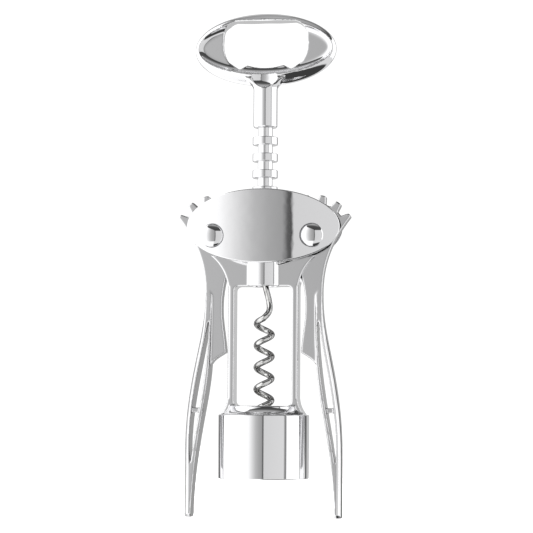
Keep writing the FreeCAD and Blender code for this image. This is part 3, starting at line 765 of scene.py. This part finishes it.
def cover_plate(side, name, node, sizes):
    """An oval plate with an exact crowned face and an eased rim."""
    low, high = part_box(node)
    half_x = (high.x - low.x) / 2.0
    half_z = (high.z - low.z) / 2.0
    mid_z = (high.z + low.z) / 2.0
    back = min(abs(low.y), abs(high.y))
    crown = (sizes.crown_radius, max(abs(low.y), abs(high.y)))
    rim = 0.5 * MM
    steps = 220
    bm = bmesh.new()
    rings = []
    for share in [t / 40.0 for t in range(1, 41)]:
        ring = []
        for k in range(steps):
            a = 2.0 * math.pi * k / steps
            x = (half_x - rim) * share * math.cos(a)
            z = (half_z - rim) * share * math.sin(a)
            ring.append(bm.verts.new(crown_place(x, mid_z + z, side, crown)))
        rings.append(ring)
    for quarter in range(1, 9):
        b = math.pi / 2.0 * quarter / 8.0
        ring = []
        for k in range(steps):
            a = 2.0 * math.pi * k / steps
            x = (half_x - rim + rim * math.sin(b)) * math.cos(a)
            z = (half_z - rim + rim * math.sin(b)) * math.sin(a)
            place = crown_place((half_x - rim) * math.cos(a), mid_z, side, crown)
            ring.append(bm.verts.new((x, place.y - side * rim * (1.0 - math.cos(b)), mid_z + z)))
        rings.append(ring)
    for share in (1.0, 0.985):
        ring = []
        for k in range(steps):
            a = 2.0 * math.pi * k / steps
            ring.append(bm.verts.new((half_x * share * math.cos(a), side * back,
                                      mid_z + half_z * share * math.sin(a))))
        rings.append(ring)
    for one, two in zip(rings, rings[1:]):
        for k in range(steps):
            j = (k + 1) % steps
            bm.faces.new((one[k], one[j], two[j], two[k]))
    middle = bm.verts.new(crown_place(0.0, mid_z, side, crown))
    for k in range(steps):
        bm.faces.new((rings[0][k], rings[0][(k + 1) % steps], middle))
    bm.faces.new(rings[-1])
    return mesh_from(bm, name), crown


def cut_seats(mesh, name, side, crown, seat_radius):
    """Sinks a round seat for each rivet head, and keeps the crowned face's exact normals."""
    plate = bpy.data.objects.new(name + "_work", mesh)
    bpy.context.scene.collection.objects.link(plate)
    cutters = []
    for sign in (-1, 1):
        depth = 6.0 * MM
        points = [(0, 0, 0), (seat_radius, 0, 0.25 * MM), (seat_radius, depth, 0), (0, depth, 0)]
        outline = [(r, side * (SEAT_Y + along), e) for r, along, e in points]
        cutter = bpy.data.objects.new(name + "_seat", lathe(name + "_seat", outline, SMALL_PART_STEPS, "Y",
                                                             (sign * PIVOT_X, 0, PIVOT_Z)))
        bpy.context.scene.collection.objects.link(cutter)
        cut = plate.modifiers.new("Seat", "BOOLEAN")
        cut.operation = "DIFFERENCE"
        cut.solver = "EXACT"
        cut.object = cutter
        cutters.append(cutter)
    result = evaluated_mesh(plate)
    for spare in cutters + [plate]:
        bpy.data.objects.remove(spare)
    result.name = name
    result.shade_smooth()
    result.set_sharp_from_angle(angle=SHARP_ANGLE)
    radius, top = crown
    normals = [Vector(n.vector) for n in result.corner_normals]
    for polygon in result.polygons:
        for corner in polygon.loop_indices:
            place = result.vertices[result.loops[corner].vertex_index].co
            expected = crown_place(place.x, place.z, side, crown)
            exact = Vector((place.x, side * (radius + side * place.y - top), 0.0)).normalized()
            if abs(expected.y - place.y) < 0.002 * MM and polygon.normal.dot(exact) > 0.99:
                normals[corner] = exact
    result.normals_split_custom_set(normals)
    return result


class CORKSCREW_OT_cover_plates(bpy.types.Operator):
    """Make the two crowned oval plates that cover the head"""

    bl_idname = "corkscrew.cover_plates"
    bl_label = "Cover plates"

    def execute(self, context):
        sizes = context.scene.corkscrew_sizes
        for side, place in ((-1, "front"), (1, "rear")):
            node = "head_" + place + "_plate"
            name = node + "_polished"
            mesh, crown = cover_plate(side, name, node, sizes)
            rivet_low, rivet_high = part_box("pivot_rivet_left")
            seat_radius = (rivet_high.z - rivet_low.z) / 2.0 + SEAT_MARGIN
            mesh = cut_seats(mesh, name, side, crown, seat_radius)
            add_piece(name, mesh, "plate_chrome", "frame", node)
        return {"FINISHED"}


class CORKSCREW_OT_bell(bpy.types.Operator):
    """Turn the bell's sleeve to fit round its liner"""

    bl_idname = "corkscrew.bell"
    bl_label = "Bell"

    def execute(self, context):
        sizes = context.scene.corkscrew_sizes
        low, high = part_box("bell_sleeve")
        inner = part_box("bell_liner")[1].x
        edge = sizes.edge_round
        outer = min(high.x, high.y)
        points = [(inner, low.z, edge / 2), (outer, low.z, edge * 1.6), (outer, high.z, edge * 1.6),
                  (inner, high.z, edge / 2)]
        mesh = lathe("bell_sleeve_turned", points, sizes.turn_steps)
        add_piece("bell_sleeve_turned", mesh, "bell_chrome", "frame", "bell_sleeve")
        return {"FINISHED"}


class CORKSCREW_OT_rivets(bpy.types.Operator):
    """Turn the pivot rivets and their rear caps"""

    bl_idname = "corkscrew.rivets"
    bl_label = "Pivot rivets"

    def execute(self, context):
        sizes = context.scene.corkscrew_sizes
        for side, sign in (("left", -1), ("right", 1)):
            centre = (sign * PIVOT_X, 0, PIVOT_Z)
            for node, direction in (("pivot_rivet_" + side, -1), ("rivet_cap_" + side, 1)):
                low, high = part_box(node)
                radius = (high.z - low.z) / 2.0
                crown = abs(low.y) if direction < 0 else abs(high.y)
                tenon = radius * 0.5
                rim_top = SEAT_Y + RIVET_RIM
                points = [(0.0, SEAT_Y - RIVET_TENON, 0), (tenon, SEAT_Y - RIVET_TENON, 0),
                          (tenon, SEAT_Y, 0), (radius, SEAT_Y, 0.12 * MM), (radius, rim_top, 0.35 * MM)]
                for k in range(1, 24):
                    a = math.pi / 2.0 * k / 24.0
                    points.append((radius * math.cos(a), rim_top + (crown - rim_top) * math.sin(a), 0))
                points.append((0.0, crown, 0))
                outline = [(r, direction * along, e) for r, along, e in points]
                name = node + "_turned"
                mesh = lathe(name, outline, SMALL_PART_STEPS, "Y", centre)
                add_piece(name, mesh, "rivet_chrome", "frame", node)
        return {"FINISHED"}


class CORKSCREW_OT_rack(bpy.types.Operator):
    """Turn the ringed rack sleeve"""

    bl_idname = "corkscrew.rack"
    bl_label = "Rack sleeve"

    def execute(self, context):
        sizes = context.scene.corkscrew_sizes
        low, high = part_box("rack_sleeve")
        radius = high.x
        half = RACK_RING / 2.0
        land_top = low.z + RACK_LAND
        edge = sizes.edge_round
        top_ring = high.z - RACK_TOP_GAP - half
        points = [(RACK_BORE, high.z, 0), (RACK_BORE, low.z, 0), (radius, low.z, edge),
                  (radius, land_top, edge), (RACK_CORE, land_top, 0)]
        for k in range(RACK_RINGS - 1, -1, -1):
            z = top_ring - k * RACK_PITCH
            if z - half < land_top:
                continue
            points += [(RACK_CORE, z - half, 0.1 * MM), (radius, z - half, edge * 1.3),
                       (radius, z + half, edge * 1.3), (RACK_CORE, z + half, 0.1 * MM)]
        points.append((RACK_CORE, high.z, 0))
        mesh = lathe("rack_sleeve_turned", points, SMALL_PART_STEPS)
        add_piece("rack_sleeve_turned", mesh, "rack_chrome", "rack", "rack_sleeve")
        return {"FINISHED"}


def worm_path(sizes, low_z, high_z, radius):
    """Points up the worm: the coil, the rise to the axis, and the straight shank."""
    pitch = sizes.worm_pitch
    path = []
    steps = 420
    for k in range(steps + 1):
        z = low_z + (COIL_TOP - low_z) * k / steps
        a = COIL_END_ANGLE - 2.0 * math.pi * (COIL_TOP - z) / pitch
        path.append(Vector((radius * math.cos(a), radius * math.sin(a), z)))
    chain = [path[-24], path[-1]] + SHANK_RISE
    for i in range(1, len(chain) - 1):
        p0, p1, p2 = chain[i - 1], chain[i], chain[i + 1]
        p3 = chain[min(i + 2, len(chain) - 1)]
        for k in range(1, 25):
            t = k / 24.0
            path.append(0.5 * (2 * p1 + (p2 - p0) * t + (2 * p0 - 5 * p1 + 4 * p2 - p3) * t * t
                               + (3 * p1 - p0 - 3 * p2 + p3) * t * t * t))
    path.append(Vector((0, 0, high_z)))
    return path


class CORKSCREW_OT_worm(bpy.types.Operator):
    """Draw the steel worm with its ground point"""

    bl_idname = "corkscrew.worm"
    bl_label = "Worm"

    def execute(self, context):
        sizes = context.scene.corkscrew_sizes
        low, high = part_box("worm")
        wire = sizes.wire_radius
        path = worm_path(sizes, low.z + 0.3 * MM, high.z, high.x - wire)
        taper = 46
        radii = [wire * (0.14 + 0.86 * min(1.0, i / taper) ** 0.7) for i in range(len(path))]
        mesh = tube("worm_drawn", path, radii)
        add_piece("worm_drawn", mesh, "worm_steel", "screw", "worm")
        return {"FINISHED"}


class CORKSCREW_OT_hidden_hardware(bpy.types.Operator):
    """Finish the small pieces that keep their CAD shape"""

    bl_idname = "corkscrew.hidden_hardware"
    bl_label = "Liner, washers, pin and collar"

    def execute(self, context):
        slots = {entry["node"]: entry["material_slot"] for entry in frame["record"]["subparts"]}
        kept = ["bell_liner", "handle_pin", "shank_collar"]
        kept += [end + "_washer_" + side for end in ("front", "rear") for side in ("left", "right")]
        for node in kept:
            obj = frame["nodes"][node]
            obj.data.materials.clear()
            obj.data.materials.append(finish_for(slots[node]))
            obj.data.shade_smooth()
            obj.data.set_sharp_from_angle(angle=math.radians(30))
        return {"FINISHED"}


# ---------------------------------------------------------------- stage

def grey_ramp(tree, value, low, high, stops):
    """A colour ramp over a range of value; each stop is (value, grey level)."""
    node = tree.nodes.new("ShaderNodeValToRGB")
    tree.links.new(span_node(tree, value, low, high, 0.0, 1.0), node.inputs[0])
    ramp = node.color_ramp
    for _ in range(len(stops) - 2):
        ramp.elements.new(0.5)
    for element, (place, _) in zip(ramp.elements, stops):
        element.position = (place - low) / (high - low)
    for element, (_, level) in zip(ramp.elements, stops):
        element.color = (level, level, level, 1.0)
    return node.outputs[0]


def mixed_colour(tree, factor, a, b):
    """Goes from colour a to colour b as the factor rises."""
    mix = tree.nodes.new("ShaderNodeMix")
    mix.data_type = "RGBA"
    tree.links.new(factor, mix.inputs["Factor"])
    tree.links.new(a, mix.inputs[6])
    tree.links.new(b, mix.inputs[7])
    return mix.outputs[2]


# Grey levels of the surroundings, each as (degrees, level): the walls by azimuth, the rest by height.
PANELS = [(-180, 0.58), (-152, 0.58), (-144, 0.10), (-137, 0.16), (-132, 1.35), (-42, 1.35), (-30, 1.14),
          (-20, 0.80), (-12, 0.56), (-4, 0.44), (3.2, 0.38), (5.2, 0.16), (6.0, 0.09), (7.7, 0.09),
          (8.1, 0.74), (60, 0.80), (63, 0.26), (67, 0.26), (69, 1.35), (134, 1.35), (139, 0.16),
          (144, 0.10), (152, 0.58), (180, 0.58)]
CEILING = [(20, 0.05), (52, 0.09), (66, 0.34), (90, 0.50)]
TABLE_LEFT = [(-90, 1.05), (-20, 1.3)]
TABLE_RIGHT = [(-90, 0.05), (-46, 0.05), (-41, 0.80), (-20, 0.80)]

# The ceiling's edge, in degrees: lowest at one azimuth, and rising to either side up to a limit.
EDGE_AZIMUTH = 8.0
EDGE_HEIGHT = 24.0
EDGE_LIMIT = 60.0
LEFT_RISE = 0.42
RIGHT_RISE = 0.15


def studio_world(scene):
    """Soft studio surroundings by direction: wall panels, a dark ceiling edge and a pale table."""
    world = bpy.data.worlds.new("Studio")
    world.use_nodes = True
    tree = world.node_tree
    tree.nodes.clear()
    out = tree.nodes.new("ShaderNodeOutputWorld")
    place = tree.nodes.new("ShaderNodeTexCoord")
    split = tree.nodes.new("ShaderNodeSeparateXYZ")
    tree.links.new(place.outputs["Generated"], split.inputs[0])
    ahead = math_node(tree, "MULTIPLY", split.outputs["Y"], -1.0)
    degree = 180.0 / math.pi
    azimuth = math_node(tree, "MULTIPLY", math_node(tree, "ARCTAN2", split.outputs["X"], ahead), degree)
    height = math_node(tree, "MULTIPLY", math_node(tree, "ARCSINE", split.outputs["Z"]), degree)
    walls = grey_ramp(tree, azimuth, -180.0, 180.0, PANELS)
    to_left = math_node(tree, "MAXIMUM", math_node(tree, "SUBTRACT", EDGE_AZIMUTH, azimuth), 0.0)
    to_right = math_node(tree, "MAXIMUM", math_node(tree, "SUBTRACT", azimuth, EDGE_AZIMUTH), 0.0)
    rise = math_node(tree, "ADD", math_node(tree, "MULTIPLY", to_left, LEFT_RISE),
                     math_node(tree, "MULTIPLY", to_right, RIGHT_RISE))
    edge = math_node(tree, "MINIMUM", math_node(tree, "ADD", rise, EDGE_HEIGHT), EDGE_LIMIT)
    above = span_node(tree, math_node(tree, "SUBTRACT", height, edge), -1.5, 1.5, 0.0, 1.0)
    below = span_node(tree, height, -20.0, -24.0, 0.0, 1.0)
    right_side = span_node(tree, azimuth, -3.0, 5.0, 0.0, 1.0)
    table = mixed_colour(tree, right_side, grey_ramp(tree, height, -90.0, 0.0, TABLE_LEFT),
                         grey_ramp(tree, height, -90.0, 0.0, TABLE_RIGHT))
    colour = mixed_colour(tree, above, walls, grey_ramp(tree, height, 0.0, 90.0, CEILING))
    colour = mixed_colour(tree, below, colour, table)
    glow = tree.nodes.new("ShaderNodeBackground")
    tree.links.new(colour, glow.inputs["Color"])
    plain = tree.nodes.new("ShaderNodeBackground")
    plain.inputs["Color"].default_value = (1.0, 1.0, 1.0, 1.0)
    plain.inputs["Strength"].default_value = 1.1
    sight = tree.nodes.new("ShaderNodeLightPath")
    mix = tree.nodes.new("ShaderNodeMixShader")
    tree.links.new(sight.outputs["Is Camera Ray"], mix.inputs[0])
    tree.links.new(glow.outputs[0], mix.inputs[1])
    tree.links.new(plain.outputs[0], mix.inputs[2])
    tree.links.new(mix.outputs[0], out.inputs["Surface"])
    scene.world = world


def white_floor(studio, z):
    """A wide white floor just under the lever tips, lit to the same white as the surroundings."""
    half = studio.floor_half
    mesh = bpy.data.meshes.new("floor")
    corners = [(-half, -half, z), (half, -half, z), (half, half, z), (-half, half, z)]
    mesh.from_pydata(corners, [], [(0, 1, 2, 3)])
    floor = bpy.data.objects.new("floor", mesh)
    bpy.context.scene.collection.objects.link(floor)
    material, tree, shader = blank_material("floor_white")
    shader.inputs["Base Color"].default_value = (0.9, 0.9, 0.9, 1.0)
    shader.inputs["Roughness"].default_value = 0.9
    shader.inputs["Emission Color"].default_value = (1.0, 1.0, 1.0, 1.0)
    shader.inputs["Emission Strength"].default_value = 0.55
    mesh.materials.append(material)
    floor.visible_glossy = False


def soft_light(name, place, target, size, power):
    """A soft box aimed at the object, that its polish doesn't mirror."""
    lamp = bpy.data.lights.new(name, "AREA")
    lamp.shape = "RECTANGLE"
    lamp.size, lamp.size_y = size
    lamp.energy = power
    holder = bpy.data.objects.new(name, lamp)
    holder.location = place
    holder.rotation_euler = (Vector(target) - Vector(place)).to_track_quat("-Z", "Y").to_euler()
    holder.visible_glossy = False
    bpy.context.scene.collection.objects.link(holder)


def studio_camera(scene, studio):
    """The camera in front of the object, a little below its middle."""
    data = bpy.data.cameras.new("camera")
    half = studio.frame_width / 2.0 / studio.distance
    data.sensor_width = 36.0
    data.lens = data.sensor_width / 2.0 / half
    data.clip_start, data.clip_end = 0.01, 20.0
    camera = bpy.data.objects.new("camera", data)
    scene.collection.objects.link(camera)
    a, e = studio.azimuth, studio.elevation
    back = Vector((math.sin(a) * math.cos(e), -math.cos(a) * math.cos(e), math.sin(e)))
    aim = Vector((studio.aim_x, 0, studio.aim_z))
    camera.location = aim + back * studio.distance
    turn = (-back).to_track_quat("-Z", "Y").to_matrix().to_4x4()
    camera.rotation_euler = (turn @ Matrix.Rotation(studio.roll, 4, "Z")).to_euler()
    scene.camera = camera


class CORKSCREW_OT_stage(bpy.types.Operator):
    """Set up the floor, the soft light and the camera"""

    bl_idname = "corkscrew.stage"
    bl_label = "Stage"

    def execute(self, context):
        scene = context.scene
        studio = scene.corkscrew_studio
        scene.view_settings.view_transform = "Standard"
        studio_world(scene)
        white_floor(studio, CAD_BOX[0].z - 0.05 * MM)
        centre = (0, 0, studio.aim_z)
        soft_light("left_softbox", (-0.7, -0.4, 0.5), centre, (0.7, 0.9), 9.0)
        soft_light("right_softbox", (0.7, -0.3, 0.5), centre, (0.6, 0.9), 6.0)
        soft_light("top_softbox", (0.0, 0.1, 0.9), centre, (0.9, 0.9), 8.0)
        studio_camera(scene, studio)
        return {"FINISHED"}


class CORKSCREW_PT_panel(bpy.types.Panel):
    """Lists the corkscrew's pieces and settings"""

    bl_idname = "CORKSCREW_PT_panel"
    bl_label = "Corkscrew"
    bl_space_type = "VIEW_3D"
    bl_region_type = "UI"
    bl_category = "Corkscrew"

    def draw(self, context):
        layout = self.layout
        for name in BUILD_ORDER:
            layout.operator("corkscrew." + name)
        for group in (context.scene.corkscrew_sizes, context.scene.corkscrew_finish,
                      context.scene.corkscrew_studio):
            box = layout.box()
            for label in group.bl_rna.properties.keys():
                if label not in ("rna_type", "name"):
                    box.prop(group, label)


BUILD_ORDER = ["frame_casting", "levers", "handle", "cover_plates", "bell", "rivets", "rack", "worm",
               "hidden_hardware", "stage"]

CLASSES = [
    CorkscrewSizes, CorkscrewFinish, CorkscrewStudio,
    CORKSCREW_OT_frame_casting, CORKSCREW_OT_levers, CORKSCREW_OT_handle, CORKSCREW_OT_cover_plates,
    CORKSCREW_OT_bell, CORKSCREW_OT_rivets, CORKSCREW_OT_rack, CORKSCREW_OT_worm,
    CORKSCREW_OT_hidden_hardware, CORKSCREW_OT_stage, CORKSCREW_PT_panel,
]


def register():
    for cls in CLASSES:
        bpy.utils.register_class(cls)
    bpy.types.Scene.corkscrew_sizes = PointerProperty(type=CorkscrewSizes)
    bpy.types.Scene.corkscrew_finish = PointerProperty(type=CorkscrewFinish)
    bpy.types.Scene.corkscrew_studio = PointerProperty(type=CorkscrewStudio)


def unregister():
    del bpy.types.Scene.corkscrew_studio
    del bpy.types.Scene.corkscrew_finish
    del bpy.types.Scene.corkscrew_sizes
    for cls in reversed(CLASSES):
        bpy.utils.unregister_class(cls)


def main():
    register()
    for name in BUILD_ORDER:
        getattr(bpy.ops.corkscrew, name)()


if __name__ == "__main__":
    main()
